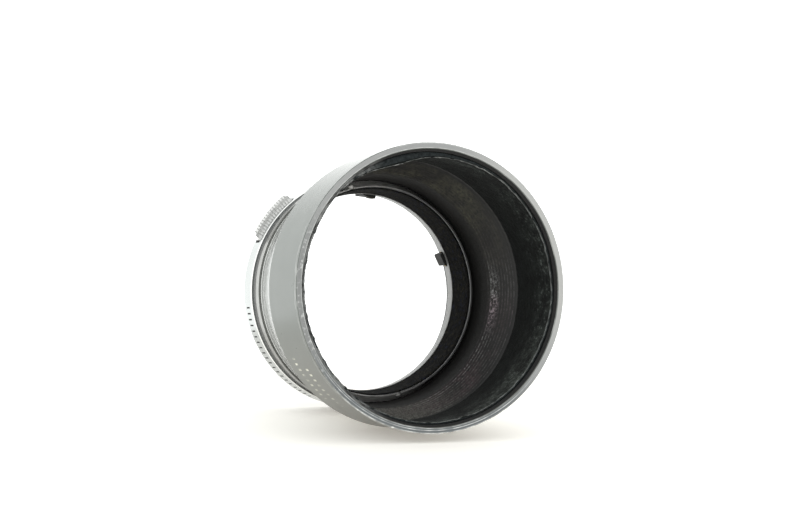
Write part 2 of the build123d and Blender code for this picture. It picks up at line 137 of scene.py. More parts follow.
class Finish:
    """One material with a Principled shader, and short calls for the nodes that feed it."""

    def __init__(self, name, **sockets):
        self.material = bpy.data.materials.new(name)
        self.material.use_nodes = True
        self.tree = self.material.node_tree
        self.shader = self.tree.nodes["Principled BSDF"]
        for socket, value in sockets.items():
            self.shader.inputs[socket.replace("_", " ")].default_value = value
        self.place = self.add("ShaderNodeTexCoord").outputs["Object"]
        parts = self.add("ShaderNodeSeparateXYZ")
        self.join(self.place, parts.inputs[0])
        self.x, self.y, self.z = parts.outputs

    def add(self, kind, **settings):
        node = self.tree.nodes.new(kind)
        for key, value in settings.items():
            setattr(node, key, value)
        return node

    def join(self, source, socket):
        """Feeds a socket from another node's output, or sets it to a plain value."""
        if isinstance(source, bpy.types.NodeSocket):
            self.tree.links.new(source, socket)
        else:
            socket.default_value = source

    def math(self, operation, *values):
        node = self.add("ShaderNodeMath", operation=operation)
        for i, value in enumerate(values):
            self.join(value, node.inputs[i])
        return node.outputs[0]

    def times(self, *factors):
        """Product of two or more values."""
        product = factors[0]
        for factor in factors[1:]:
            product = self.math("MULTIPLY", product, factor)
        return product

    def largest(self, *values):
        """Largest of two or more values."""
        result = values[0]
        for value in values[1:]:
            result = self.math("MAXIMUM", result, value)
        return result

    def inverse(self, share):
        """What a share leaves of one."""
        return self.math("SUBTRACT", 1.0, share)

    def radius(self):
        across = self.math("MULTIPLY", self.x, self.x)
        return self.math("SQRT", self.math("MULTIPLY_ADD", self.z, self.z, across))

    def angle(self):
        """Angle about the optical axis, in radians, from -pi to pi."""
        return self.math("ARCTAN2", self.z, self.x)

    def turn(self):
        """Angle about the optical axis, in degrees, from 0 to 360."""
        positive = self.math("ADD", self.angle(), 2 * math.pi)
        return self.math("MODULO", self.math("MULTIPLY", positive, 180 / math.pi), 360.0)

    def repeat(self, value, step):
        """Runs from 0 to 1 over each step of the value."""
        return self.math("FRACT", self.math("MULTIPLY", value, 1 / step))

    def over(self, value, edge, soft):
        """0 below the edge and 1 above it, turning smoothly over the soft width."""
        node = self.add("ShaderNodeMapRange", interpolation_type="SMOOTHSTEP")
        self.join(value, node.inputs["Value"])
        node.inputs["From Min"].default_value = edge - soft / 2
        node.inputs["From Max"].default_value = edge + soft / 2
        return node.outputs["Result"]

    def under(self, value, edge, soft):
        return self.inverse(self.over(value, edge, soft))

    def between(self, value, low, high, soft):
        return self.times(self.over(value, low, soft), self.under(value, high, soft))

    def scaled(self, across, along):
        """Object coordinates, stretched: across the optical axis and along it, in cells per metre."""
        node = self.add("ShaderNodeVectorMath", operation="MULTIPLY")
        self.join(self.place, node.inputs[0])
        node.inputs[1].default_value = (across, along, across)
        return node.outputs[0]

    def noise(self, across, along=None, detail=3.0, rough=0.55, seed=0.0):
        """Noise from 0 to 1. A larger along than across draws it out into rings about the axis."""
        node = self.add("ShaderNodeTexNoise", noise_dimensions="4D")
        self.join(self.scaled(across, along or across), node.inputs["Vector"])
        node.inputs["W"].default_value = seed
        node.inputs["Scale"].default_value = 1.0
        node.inputs["Detail"].default_value = detail
        node.inputs["Roughness"].default_value = rough
        return node.outputs[0]

    def stretch(self, value, low, high, to_low=0.0, to_high=1.0):
        """Runs from to_low to to_high while the value runs from low to high, and stays level beyond."""
        node = self.add("ShaderNodeMapRange")
        self.join(value, node.inputs["Value"])
        for socket, number in zip(RANGE_SOCKETS, (low, high, to_low, to_high)):
            node.inputs[socket].default_value = number
        return node.outputs["Result"]

    def blend(self, share, first, second):
        """A colour between two, by the share of the second."""
        node = self.add("ShaderNodeMix", data_type="RGBA")
        self.join(share, node.inputs[0])
        for source, socket in ((first, node.inputs[6]), (second, node.inputs[7])):
            self.join(rgba(source), socket)
        return node.outputs[2]

    def bump(self, height, depth, under=None):
        """Bump whose height runs from 0 to depth metres, on top of another bump."""
        node = self.add("ShaderNodeBump")
        node.inputs["Strength"].default_value = 1.0
        node.inputs["Distance"].default_value = depth
        self.join(height, node.inputs["Height"])
        if under is not None:
            self.join(under, node.inputs["Normal"])
        return node.outputs["Normal"]

    def finish(self, **sources):
        for socket, source in sources.items():
            self.join(rgba(source), self.shader.inputs[socket.replace("_", " ")])
        return self.material


def rgba(source):
    """A colour triple with its alpha, and any other source as it is."""
    if isinstance(source, tuple) and len(source) == 3:
        return (*source, 1.0)
    return source


# ---- Finishes, one for each material slot ----
def filled_strokes(f):
    """Share of paint in two rows of plain strokes, worn away towards one end."""
    turn = f.turn()
    rows = 0.0
    for front, start, end in STROKE_ROWS:
        along = f.between(f.y, front, front + STROKE_LENGTH, 0.2 * MM)
        around = f.between(turn, start, end, 1.0)
        rows = f.math("ADD", rows, f.times(along, around))
    stroke = f.between(f.repeat(turn, STROKE_STEP_DEG), 0.30, 0.66, 0.10)
    paint = f.stretch(f.noise(700, detail=3, seed=9), 0.36, 0.60, 0.10, 0.85)
    fading = f.stretch(turn, 213.0, 238.0, 1.0, 0.35)
    return f.times(rows, stroke, paint, fading)


def barrel_outside(f, radius, cloud, on_cone, taper):
    """Colour of the smooth satin skin, warmed on the underside by a painted floor reflection, with painted
    light and shade on the cone and bead, and light streaks next to the rim.
    """
    # The underside is painted warmer: a painted reflection of the warm floor.
    cool = f.blend(cloud, (0.106, 0.119, 0.110), (0.124, 0.137, 0.128))
    warm = f.blend(cloud, (0.124, 0.126, 0.112), (0.140, 0.141, 0.127))
    skin = f.blend(f.under(f.z, -14 * MM, 20 * MM), cool, warm)
    # The cone is painted much lighter than the tube, and lighter still towards its rear: painted reflection
    # of the bright surroundings at a grazing angle.
    rearward = f.over(f.y, CONE_FRONT_Y + 8.2 * MM, 8 * MM)
    cone = f.blend(rearward, (0.280, 0.290, 0.282), (0.430, 0.443, 0.433))
    skin = f.blend(on_cone, skin, cone)
    streaks = f.stretch(f.noise(200, 2600, detail=4, seed=3), 0.52, 0.62)
    streaks = f.times(streaks, f.under(f.y, FRONT_Y + 3 * MM, 2.4 * MM))
    skin = f.blend(streaks, skin, (0.34, 0.35, 0.34))
    # The bead's taper is painted near-black: painted shade that hides its highlight.
    skin = f.blend(taper, skin, (0.035, 0.036, 0.035))
    # A bright line on the cone's rear edge: a painted highlight over a worn edge.
    rear_edge = f.over(f.y, CONE_REAR_Y - 0.24 * MM, 0.06 * MM)
    rear_edge = f.times(rear_edge, f.over(radius, CONE_REAR_R - 0.08 * MM, 0.04 * MM))
    skin = f.blend(rear_edge, skin, (0.62, 0.63, 0.62))
    return f.blend(filled_strokes(f), skin, (0.80, 0.78, 0.66))


def ridge_shine(f, on_ridges):
    """Painted glints on the crests of the ridges, broken up by worn bare metal, strongest in two arcs where
    the light falls, and one painted streak of glints across them.
    """
    angle = f.angle()
    ridge_step = (RIDGE_REAR_Y - CONE_FRONT_Y) / RIDGE_COUNT
    step = f.repeat(f.math("SUBTRACT", f.y, CONE_FRONT_Y), ridge_step)
    crest = f.largest(f.over(step, 0.86, 0.16), f.under(step, 0.10, 0.16))
    wear = f.stretch(f.noise(1500, 2400, detail=4, rough=0.7, seed=12), 0.44, 0.66, 0.04, 1.0)
    # The glints are painted by angle: strongest in two arcs about the bore.
    arcs = f.largest(f.between(angle, -0.26, 0.20, 0.36), f.between(angle, -1.31, -0.35, 0.3))
    arcs = f.stretch(arcs, 0.0, 1.0, 0.16, 1.0)
    deeper = f.stretch(f.over(f.y, -14 * MM, 5 * MM), 0.0, 1.0, 0.30, 1.0)
    shine = f.times(crest, on_ridges, wear, arcs, deeper)
    # A painted streak of bright dots across the ridges.
    streak = f.times(f.between(angle, -0.32, 0.12, 0.3), f.between(f.y, -14.6 * MM, -12.3 * MM, 1.2 * MM))
    dots = f.stretch(f.noise(1900, detail=3, rough=0.7, seed=16), 0.48, 0.64)
    return f.largest(shine, f.times(streak, dots))


def barrel_inside(f, grime, on_ridges, shine, smooth):
    """Colour of the bore: black ridges with dust in them, a painted sheen that is olive above and purplish
    below, painted shade on the right side, painted glints on the crests, and near-black smooth parts behind
    them, painted darker on the right.
    """
    angle = f.angle()
    # Painted sheen on the ridges: olive on the upper side of the bore, purplish-brown on the lower side.
    tone = f.blend(f.over(f.z, 0.0, 34 * MM), (0.084, 0.054, 0.060), (0.105, 0.102, 0.066))
    patches = f.stretch(f.noise(150, detail=3, seed=13), 0.35, 0.65)
    tone = f.blend(patches, (0.016, 0.015, 0.014), tone)
    mottling = f.stretch(f.noise(1100, detail=4, rough=0.7, seed=14), 0.36, 0.60)
    tone = f.blend(mottling, (0.007, 0.007, 0.007), tone)
    # Painted shade: the right side of the bore is darker.
    side = f.times(f.between(angle, -0.55, 0.55, 0.4), 0.72)
    tone = f.blend(side, tone, (0.010, 0.009, 0.009))
    dusty = f.times(f.stretch(grime, 0.45, 0.8), 0.35)
    ridges = f.blend(dusty, tone, (0.070, 0.066, 0.064))
    ridges = f.blend(f.over(f.y, -19 * MM, 3 * MM), (0.010, 0.010, 0.010), ridges)
    settled = f.times(f.between(angle, -2.40, -1.15, 0.7), f.stretch(grime, 0.38, 0.62, 0.2, 0.9))
    ridges = f.blend(f.times(settled, on_ridges), ridges, (0.185, 0.182, 0.165))
    # Colour of the painted glints on the worn crests.
    shine_tone = f.blend(f.between(angle, -0.34, -0.06, 0.12), (0.46, 0.46, 0.46), (0.50, 0.41, 0.45))
    ridges = f.blend(shine, ridges, shine_tone)
    # The smooth parts are painted darker on the right side: painted shade.
    plain = f.blend(f.between(angle, -0.7, 0.7, 0.6), (0.026, 0.0255, 0.025), (0.013, 0.0125, 0.012))
    return f.blend(smooth, ridges, plain)


def barrel_rim(f, radius, turned, colour):
    """Lays the rim over the barrel's colour: a bare grey face with a painted highlight on its upper right
    and painted shade below, and edges that are partly rubbed and partly painted highlight.

    Gives back the colour, and how metallic it is.
    """
    angle = f.angle()
    face = f.under(f.y, FRONT_Y + 0.05 * MM, 0.06 * MM)
    grey = f.blend(turned, (0.29, 0.296, 0.298), (0.38, 0.384, 0.384))
    # Painted highlight: the upper right of the face is lighter.
    brighter = f.times(f.between(angle, -0.35, 1.15, 0.6), 0.6)
    grey = f.blend(brighter, grey, (0.54, 0.54, 0.525))
    left = f.times(f.under(f.x, -16 * MM, 12 * MM), f.under(f.z, 12 * MM, 14 * MM), 0.8)
    nicks = f.stretch(f.noise(1200, detail=3, rough=0.6, seed=18), 0.54, 0.64)
    grey = f.blend(left, grey, f.blend(nicks, (0.235, 0.241, 0.240), (0.56, 0.57, 0.565)))
    # Painted shade: the lower part of the face is darker.
    dull = f.between(angle, -2.55, -0.80, 0.6)
    grey = f.blend(f.times(dull, 0.85), grey, (0.105, 0.118, 0.127))
    colour = f.blend(face, colour, grey)

    # Rubbed edges, partly worn bare and partly painted highlight, brightest on a lower arc; the inner edge
    # is painted brighter on the left; one bright ring lies in the painted shade of the face
    front = f.under(f.y, FRONT_Y + 0.24 * MM, 0.06 * MM)
    lip = f.under(f.y, FRONT_Y + 0.07 * MM, 0.04 * MM)
    arcs = f.largest(f.between(angle, -2.36, -1.05, 0.4), f.times(f.between(angle, 1.30, 1.85, 0.3), 0.5))
    outer_edge = f.over(radius, RIM_R - 0.24 * MM, 0.08 * MM)
    outer_edge = f.times(outer_edge, f.stretch(arcs, 0.0, 1.0, 0.02, 1.0), front)
    inner_edge = f.under(radius, RIM_INNER_R + 0.08 * MM, 0.06 * MM)
    inner_edge = f.times(inner_edge, f.stretch(f.x, -4 * MM, 18 * MM, 1.0, 0.1), lip)
    ring = f.times(f.between(radius, TUBE_R + 0.05 * MM, TUBE_R + 0.20 * MM, 0.06 * MM), dull, lip)
    edges = f.largest(outer_edge, inner_edge, ring)
    rubbed = f.times(edges, f.stretch(f.noise(420, detail=5, seed=11), 0.38, 0.60, 0.25, 1.0))
    colour = f.blend(rubbed, colour, (0.74, 0.75, 0.74))
    # Sparkles on the outer edge: chips with painted glints.
    sparks = f.times(f.stretch(f.noise(820, detail=2, seed=17), 0.62, 0.68), outer_edge)
    colour = f.blend(sparks, colour, (0.97, 0.97, 0.96))
    return colour, f.largest(f.times(face, 0.35), f.times(rubbed, 0.6))


def barrel_lacquer():
    """Satin black lacquer: grey with dust and rubbing outside, with painted reflections; deep black inside,
    with painted sheen and glints; bare at the rim, with painted light and shade.
    """
    f = Finish("barrel_lacquer", IOR=1.52)
    radius = f.radius()
    past_cone = f.largest(f.math("SUBTRACT", f.y, CONE_FRONT_Y), 0.0)
    wall_middle = f.math("MULTIPLY_ADD", past_cone, -CONE_SLOPE, WALL_MIDDLE_R)
    outside = f.over(f.math("SUBTRACT", radius, wall_middle), 0.0, 0.1 * MM)
    inside = f.inverse(outside)
    on_cone = f.over(f.y, CONE_FRONT_Y + 0.1 * MM, 0.2 * MM)
    on_ridges = f.between(f.y, CONE_FRONT_Y + 0.2 * MM, RIDGE_REAR_Y + 0.3 * MM, 0.5 * MM)
    smooth = f.over(f.y, RIDGE_REAR_Y - 0.2 * MM, 0.8 * MM)
    mouth = f.under(f.y, FRONT_Y + 1.0 * MM, 0.2 * MM)
    taper = f.over(radius, TUBE_R + 0.03 * MM, 0.03 * MM)
    taper = f.times(taper, f.over(f.y, BEAD_TAPER_Y - 0.03 * MM, 0.04 * MM))
    turned = f.noise(90, 5200, detail=4)
    cloud = f.noise(260, detail=4, seed=5)
    grime = f.noise(2600, detail=3, seed=7)

    shine = ridge_shine(f, on_ridges)
    bore = barrel_inside(f, grime, on_ridges, shine, smooth)
    skin = barrel_outside(f, radius, cloud, on_cone, taper)
    colour = f.blend(outside, bore, skin)
    paled = f.stretch(f.noise(260, detail=5, seed=15), 0.40, 0.58)
    paled = f.times(paled, f.under(f.x, -14 * MM, 10 * MM), mouth, inside)
    colour = f.blend(paled, colour, (0.24, 0.245, 0.245))
    colour, metallic = barrel_rim(f, radius, turned, colour)
    metallic = f.largest(metallic, f.times(shine, inside, 0.7))

    matt = f.times(inside, f.largest(mouth, smooth), 0.4)
    rough_in = f.math("ADD", f.stretch(grime, 0.3, 0.7, 0.36, 0.56), matt)
    glossier = f.largest(f.times(on_cone, 0.20), f.times(f.over(f.z, 19 * MM, 10 * MM), 0.14))
    rough_out = f.math("SUBTRACT", f.stretch(cloud, 0.3, 0.7, 0.27, 0.33), glossier)
    rough_out = f.math("ADD", rough_out, f.times(taper, 0.5))
    rough = f.math("ADD", f.times(rough_out, outside), f.times(rough_in, inside))
    normal = f.bump(f.times(turned, f.inverse(on_cone)), 0.002 * MM)
    normal = f.bump(f.times(grime, inside), 0.012 * MM, normal)
    return f.finish(Base_Color=colour, Metallic=metallic, Roughness=rough, Normal=normal)


def black_lacquer():
    """Semi-matt black lacquer on turned brass: painted light in streaks on the nose, fading to the right,
    and thin on the lens bore.
    """
    f = Finish("black_lacquer", IOR=1.6)
    radius = f.radius()
    turned = f.noise(110, 6000, detail=4, seed=2)
    grime = f.noise(1500, detail=4, seed=4)
    colour = f.blend(f.stretch(grime, 0.45, 0.75), (0.012, 0.012, 0.013), (0.036, 0.035, 0.034))
    # The nose is painted near-white in streaks, fading to the right: painted light on a surface the scene
    # leaves dark.
    nose = f.over(radius, NOSE_FRONT_R - 0.20 * MM, 0.05 * MM)
    nose = f.times(nose, f.under(f.y, WEB_FRONT_Y - 0.20 * MM, 0.2 * MM))
    nose_light_streaks = f.stretch(f.noise(330, 2600, detail=5, rough=0.7, seed=8), 0.30, 0.60, 0.55, 1.0)
    left = f.stretch(f.x, -2 * MM, 12 * MM, 1.0, 0.02)
    colour = f.blend(f.times(nose, nose_light_streaks, left), colour, (0.95, 0.94, 0.92))
    # Thin lines on the nose's front edges: worn edges with a painted highlight, fading to the right.
    thin = f.under(f.y, NOSE_FRONT_Y + 0.05 * MM, 0.05 * MM)
    thin = f.times(thin, f.over(radius, NOSE_FRONT_R - 0.16 * MM, 0.06 * MM))
    thin = f.times(thin, f.stretch(f.noise(500, detail=4, seed=6), 0.35, 0.65, 0.35, 1.0))
    thin = f.times(thin, f.stretch(f.x, -2 * MM, 12 * MM, 1.0, 0.5))
    colour = f.blend(thin, colour, (0.110, 0.110, 0.107))
    lens_bore = f.under(radius, LENS_R + 0.16 * MM, 0.06 * MM)
    colour = f.blend(f.times(lens_bore, 0.6), colour, (0.33, 0.33, 0.32))
    rough = f.stretch(grime, 0.3, 0.7, 0.30, 0.50)
    normal = f.bump(turned, 0.008 * MM)
    return f.finish(Base_Color=colour, Metallic=f.times(thin, 0.6), Roughness=rough, Normal=normal)


def turned_metal(name, light, dark, rough, seed, dark_from=None):
    """Bare metal with fine rings from the lathe, faint handling marks and, from dark_from on, a darker
    colour.
    """
    f = Finish(name, Metallic=1.0)
    turned = f.noise(80, 7000, detail=4, seed=seed)
    smear = f.noise(170, detail=4, seed=seed + 1)
    colour = f.blend(f.stretch(turned, 0.3, 0.7), dark, light)
    colour = f.blend(f.stretch(smear, 0.45, 0.75, 0.0, 0.35), colour, dark)
    if dark_from is not None:
        colour = f.blend(f.over(f.y, dark_from, 0.1 * MM), colour, (0.036, 0.035, 0.033))
    roughness = f.stretch(smear, 0.3, 0.7, rough * 0.8, rough * 1.25)
    return f.finish(Base_Color=colour, Roughness=roughness, Normal=f.bump(turned, 0.006 * MM))


def graduated_chrome():
    """Satin chrome of the clamp band, with a short run of fine blackened graduation lines."""
    f = Finish("graduated_chrome", Metallic=1.0)
    turned = f.noise(70, 5200, detail=3, seed=21)
    smear = f.noise(140, detail=4, seed=22)
    colour = f.blend(f.stretch(smear, 0.35, 0.7), (0.425, 0.443, 0.440), (0.395, 0.410, 0.408))
    outer = f.over(f.radius(), BAND_R - 0.16 * MM, 0.05 * MM)
    turn = f.turn()
    line = f.between(f.repeat(turn, SCALE_STEP_DEG), 0.36, 0.62, 0.06)
    run = f.between(turn, SCALE_START_DEG, SCALE_END_DEG, 0.2)
    length = f.between(f.y, SCALE_FRONT_Y, SCALE_REAR_Y, 0.06 * MM)
    marks = f.times(line, run, length, outer)
    colour = f.blend(marks, colour, (0.03, 0.03, 0.03))
    # A painted highlight along the band's front edge.
    edge = f.times(f.under(f.y, BAND_FRONT_Y + 0.22 * MM, 0.05 * MM), outer)
    colour = f.blend(edge, colour, (0.95, 0.95, 0.94))
    sleeve = f.under(f.y, BAND_FRONT_Y - 0.03 * MM, 0.04 * MM)
    colour = f.blend(sleeve, colour, (0.050, 0.051, 0.050))
    rough = f.math("ADD", f.stretch(turned, 0.3, 0.7, 0.16, 0.28), f.times(marks, 0.4))
    rough = f.math("ADD", rough, f.times(edge, 0.3))
    normal = f.bump(turned, 0.003 * MM)
    normal = f.bump(f.inverse(marks), 0.03 * MM, normal)
    return f.finish(Base_Color=colour, Metallic=f.inverse(sleeve), Roughness=rough, Normal=normal)


def ribbed_chrome():
    """Polished chrome of the buttons, with painted shade along the ribs and at the rear edge, and a rounded
    crown.
    """
    f = Finish("ribbed_chrome", Metallic=1.0)
    smear = f.noise(500, detail=5, seed=31)
    colour = f.blend(f.stretch(smear, 0.4, 0.7), (0.94, 0.94, 0.93), (0.86, 0.86, 0.86))
    # Painted shade along the crown's rear edge.
    rear_edge = f.over(f.y, BUTTON_REAR_Y - 0.30 * MM, 0.12 * MM)
    colour = f.blend(rear_edge, colour, (0.35, 0.333, 0.333))

    # The ribs count from the middle of a button, and the two buttons lie half a turn apart.
    front = f.under(f.y, BUTTON_FRONT_Y + 0.05 * MM, 0.05 * MM)
    past_button = f.math("ADD", f.turn(), 360 + 90 - BUTTON_DEG)
    from_middle = f.math("SUBTRACT", f.math("MODULO", past_button, 180.0), 90.0)
    step = f.math("FRACT", f.math("MULTIPLY_ADD", from_middle, 1 / RIB_STEP_DEG, 100.5))
    # The ribs are grey stripes in the colour: painted shade of the ribbing.
    ribs = f.times(f.between(step, 0.25, 0.75, 0.5), front, f.stretch(smear, 0.3, 0.7, 0.3, 1.0))
    colour = f.blend(ribs, colour, (0.78, 0.775, 0.77))

    radius = f.radius()
    rounded = f.under(radius, BUTTON_TOP_R - 0.30 * MM, 0.6 * MM)
    raised = f.under(radius, BUTTON_TOP_R - 1.65 * MM, 1.0 * MM)
    normal = f.bump(f.times(front, rounded), 0.22 * MM)
    normal = f.bump(f.times(front, raised), 0.10 * MM, normal)
    normal = f.bump(f.noise(2600, detail=2, seed=32), 0.004 * MM, normal)
    rough = f.stretch(smear, 0.3, 0.7, 0.38, 0.52)
    return f.finish(Base_Color=colour, Roughness=rough, Normal=normal)


def blackened_steel():
    """Oil-blackened claws and levers. The top claw's tip is rubbed brown where it catches the lens ring."""
    f = Finish("blackened_steel", IOR=1.45)
    rub = f.noise(900, detail=4, seed=41)
    tip = f.under(f.radius(), CLAW_TIP_R + 0.30 * MM, 0.5 * MM)
    tip = f.times(tip, f.between(f.angle(), 1.2, 1.7, 0.1))
    colour = f.blend(f.stretch(rub, 0.4, 0.7), (0.008, 0.008, 0.008), (0.020, 0.019, 0.017))
    bare = f.times(tip, f.stretch(rub, 0.40, 0.7, 0.2, 0.9))
    colour = f.blend(bare, colour, (0.15, 0.14, 0.10))
    rough = f.stretch(rub, 0.3, 0.7, 0.62, 0.80)
    return f.finish(Base_Color=colour, Roughness=rough, Normal=f.bump(rub, 0.012 * MM))


def velvet():
    """Short black pile, dusty in grey-green patches towards the front, with a pale cut edge."""
    f = Finish("velvet", Roughness=0.95, Sheen_Weight=0.04, Sheen_Roughness=0.45, Specular_IOR_Level=0.04)
    nap = f.noise(330, detail=5, seed=51)
    pile = f.noise(5200, detail=3, rough=0.7, seed=52)
    lint = f.noise(1500, 1100, detail=4, rough=0.7, seed=53)

    # Along the cloth: 0 at the front edge, 1 at the rear edge and 1.5 on the cut face
    cloth = f.add("ShaderNodeUVMap", uv_map="cloth")
    parts = f.add("ShaderNodeSeparateXYZ")
    f.join(cloth.outputs[0], parts.inputs[0])
    along = parts.outputs[1]

    colour = f.blend(f.stretch(nap, 0.40, 0.68), (0.0030, 0.0033, 0.0032), (0.0080, 0.0098, 0.0090))
    colour = f.blend(f.stretch(pile, 0.40, 0.80, 0.0, 0.5), colour, (0.022, 0.026, 0.025))
    dusty = f.under(along, 0.42, 0.70)
    dust = f.times(f.stretch(nap, 0.45, 0.65, 0.0, 0.6), dusty)
    colour = f.blend(dust, colour, (0.032, 0.038, 0.034))
    settled = f.times(f.under(f.z, -12 * MM, 12 * MM), f.stretch(lint, 0.40, 0.62, 0.1, 0.85))
    settled = f.times(settled, f.stretch(nap, 0.42, 0.60, 0.25, 1.0), dusty)
    colour = f.blend(settled, colour, (0.102, 0.114, 0.102))

    cut_face = f.blend(f.stretch(lint, 0.35, 0.65), (0.013, 0.0155, 0.0165), (0.036, 0.042, 0.044))
    frayed = f.stretch(f.noise(480, detail=5, seed=55), 0.42, 0.56)
    frayed = f.times(frayed, f.under(f.x, -14 * MM, 10 * MM))
    cut_face = f.blend(frayed, cut_face, (0.34, 0.345, 0.34))
    colour = f.blend(f.over(along, 1.2, 0.1), colour, cut_face)

    specks = f.times(f.stretch(lint, 0.53, 0.63), dusty, 0.85)
    specks = f.times(specks, f.stretch(nap, 0.42, 0.62, 0.15, 1.0), f.over(along, 0.075, 0.03))
    colour = f.blend(specks, colour, (0.125, 0.142, 0.134))
    worn = f.stretch(f.noise(520, detail=4, seed=54), 0.40, 0.62, 0.30, 1.0)
    worn = f.times(worn, f.stretch(f.x, 4 * MM, 16 * MM, 1.0, 0.7))
    edge_tone = f.blend(f.over(f.z, 16 * MM, 10 * MM), (0.270, 0.284, 0.280), (0.34, 0.35, 0.345))
    colour = f.blend(f.times(f.under(along, 0.042, 0.020), worn), colour, edge_tone)
    return f.finish(Base_Color=colour, Normal=f.bump(pile, 0.09 * MM))


def felt():
    """Matted black felt with grey, brown and bluish fibres worked into it."""
    f = Finish("felt", Roughness=0.95, Sheen_Weight=0.012, Sheen_Roughness=0.5, Specular_IOR_Level=0.04)
    mat = f.noise(1300, detail=5, rough=0.7, seed=61)
    tint = f.noise(1100, detail=2, seed=62)
    fibre = f.noise(4200, detail=3, rough=0.7, seed=63)
    colour = f.blend(f.stretch(mat, 0.40, 0.72), (0.0035, 0.0035, 0.0034), (0.0175, 0.0170, 0.0160))
    colour = f.blend(f.stretch(tint, 0.56, 0.72, 0.0, 0.7), colour, (0.036, 0.032, 0.021))
    colour = f.blend(f.stretch(tint, 0.44, 0.28, 0.0, 0.7), colour, (0.015, 0.018, 0.036))
    colour = f.blend(f.stretch(fibre, 0.58, 0.74, 0.0, 0.6), colour, (0.085, 0.086, 0.082))
    return f.finish(Base_Color=colour, Normal=f.bump(fibre, 0.10 * MM))


def dress_nodes():
    """Gives every visible CAD node its finish, by its slot."""
    finishes = {
        "black_barrel": barrel_lacquer(),
        "nickel": turned_metal(
            "dull_nickel", (0.31, 0.31, 0.30), (0.22, 0.22, 0.21), 0.34, 11, dark_from=DARKER_FROM_Y
        ),
        "black_brass": black_lacquer(),
        "chrome_band": graduated_chrome(),
        "chrome_button": ribbed_chrome(),
        "claw_steel": blackened_steel(),
        "brass_sheet": turned_metal("brass_plate", (0.60, 0.46, 0.23), (0.38, 0.28, 0.13), 0.35, 81),
        "spring_steel": turned_metal("spring_metal", (0.46, 0.47, 0.50), (0.30, 0.30, 0.32), 0.25, 71),
        "screw_steel": turned_metal("screw_metal", (0.34, 0.34, 0.35), (0.16, 0.16, 0.17), 0.32, 91),
    }
    slots = {part["node"]: part["material_slot"] for part in frame["record"]["subparts"]}
    for name, node in frame["nodes"].items():
        if slots[name] in finishes:
            node.data.materials.clear()
            node.data.materials.append(finishes[slots[name]])


# ---- Soft linings ----
def new_piece(name, vertices, faces):
    """Object of the given mesh, linked to the scene."""
    mesh = bpy.data.meshes.new(name)
    mesh.from_pydata(vertices, [], faces)
    piece = bpy.data.objects.new(name, mesh)
    bpy.context.scene.collection.objects.link(piece)
    return piece


def ring_mesh(name, around, outline):
    """Ring about the optical axis, closed round and through.

    outline(angle) gives the (radius, y, v) points of one cross-section; v goes into the UV layer "cloth".
    """
    vertices = []
    marks = []
    for i in range(around):
        angle = 2 * math.pi * i / around
        for radius, y, v in outline(angle):
            vertices.append((radius * math.cos(angle), y, radius * math.sin(angle)))
            marks.append((i / around, v))
    size = len(vertices) // around
    faces = []
    for i in range(around):
        here = i * size
        there = ((i + 1) % around) * size
        for k in range(size):
            following = (k + 1) % size
            faces.append((here + k, here + following, there + following, there + k))
    piece = new_piece(name, vertices, faces)
    layer = piece.data.uv_layers.new(name="cloth")
    for loop in piece.data.loops:
        layer.data[loop.index].uv = marks[loop.vertex_index]
    piece.data.shade_smooth()
    piece.data.update()
    return piece


def ripples(angle, y, radius, *waves):
    """Sum of smooth noises on a ring's surface, each with its (height, size of a cell, seed)."""
    total = 0.0
    for height, cell, seed in waves:
        point = Vector((radius * math.cos(angle), y, radius * math.sin(angle))) / cell
        total += height * noise.noise(point + Vector((seed, seed, seed)))
    return total


def bell(distance, width):
    """1 at no distance, falling smoothly to 0 beyond the width."""
    return math.exp(-(distance / width) ** 2)


def velvet_lining():
    """Cloth sleeve glued in the barrel's mouth, with a wavy front edge cut by hand.

    It lifts off the barrel at two loose places.
    """
    backing_r = LINING_OUTER_R - 0.05 * MM
    front_y = FRONT_Y + 1.10 * MM
    pile = 0.35 * MM
    rows = 60
    # Above 1, this crowds the rows of points towards the front edge.
    crowding = 1.15
    edge_waves = ((0.34 * MM, 9 * MM, 3), (0.16 * MM, 1.6 * MM, 4))
    cloth_waves = ((0.07 * MM, 7 * MM, 5), (0.04 * MM, 1.3 * MM, 6), (0.06 * MM, 0.45 * MM, 7))
    tuft_wave = (1.0, 1.5 * MM, 10)
    tuft_from = 0.1
    cut_wave = (0.05 * MM, 0.7 * MM, 11)
    # Loose places: (how far the cloth sags, middle angle, half width in degrees)
    loose = ((1.20 * MM, 106, 14), (0.50 * MM, 85, 20))

    def outline(angle):
        front = front_y + ripples(angle, 0, CLOTH_R, *edge_waves)
        sag = 0.0
        for depth, middle, width in loose:
            sag += depth * bell(math.degrees(angle) - middle, width)
        points = []
        for k in range(rows + 1):
            v = k / rows
            y = front + (LINING_REAR_Y - front) * v ** crowding
            lift = ripples(angle, y, CLOTH_R, *cloth_waves)
            roll = 0.18 * MM * bell(y - front, 0.5 * MM)
            peel = sag * bell(y - front, 4.5 * MM)
            tuft = 0.42 * MM * max(0.0, ripples(angle, y, CLOTH_R, tuft_wave) - tuft_from)
            tuft *= math.exp(-(y - front) / (0.9 * MM))
            points.append((CLOTH_R - lift + roll - peel - tuft, y, v))
        points.append((backing_r, LINING_REAR_Y, 1.0))
        points.append((backing_r, front + 0.10 * MM, 1.5))
        for share in (0.25, 0.5, 0.75):
            cut_y = front + 0.06 * MM + ripples(angle, share, CLOTH_R, cut_wave)
            points.append((backing_r - (sag + pile) * share, cut_y, 1.5))
        return points

    piece = ring_mesh("velvet_sleeve", 1000, outline)
    piece.data.materials.append(velvet())
    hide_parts("velvet_lining")
    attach(piece, "hood")
    return piece


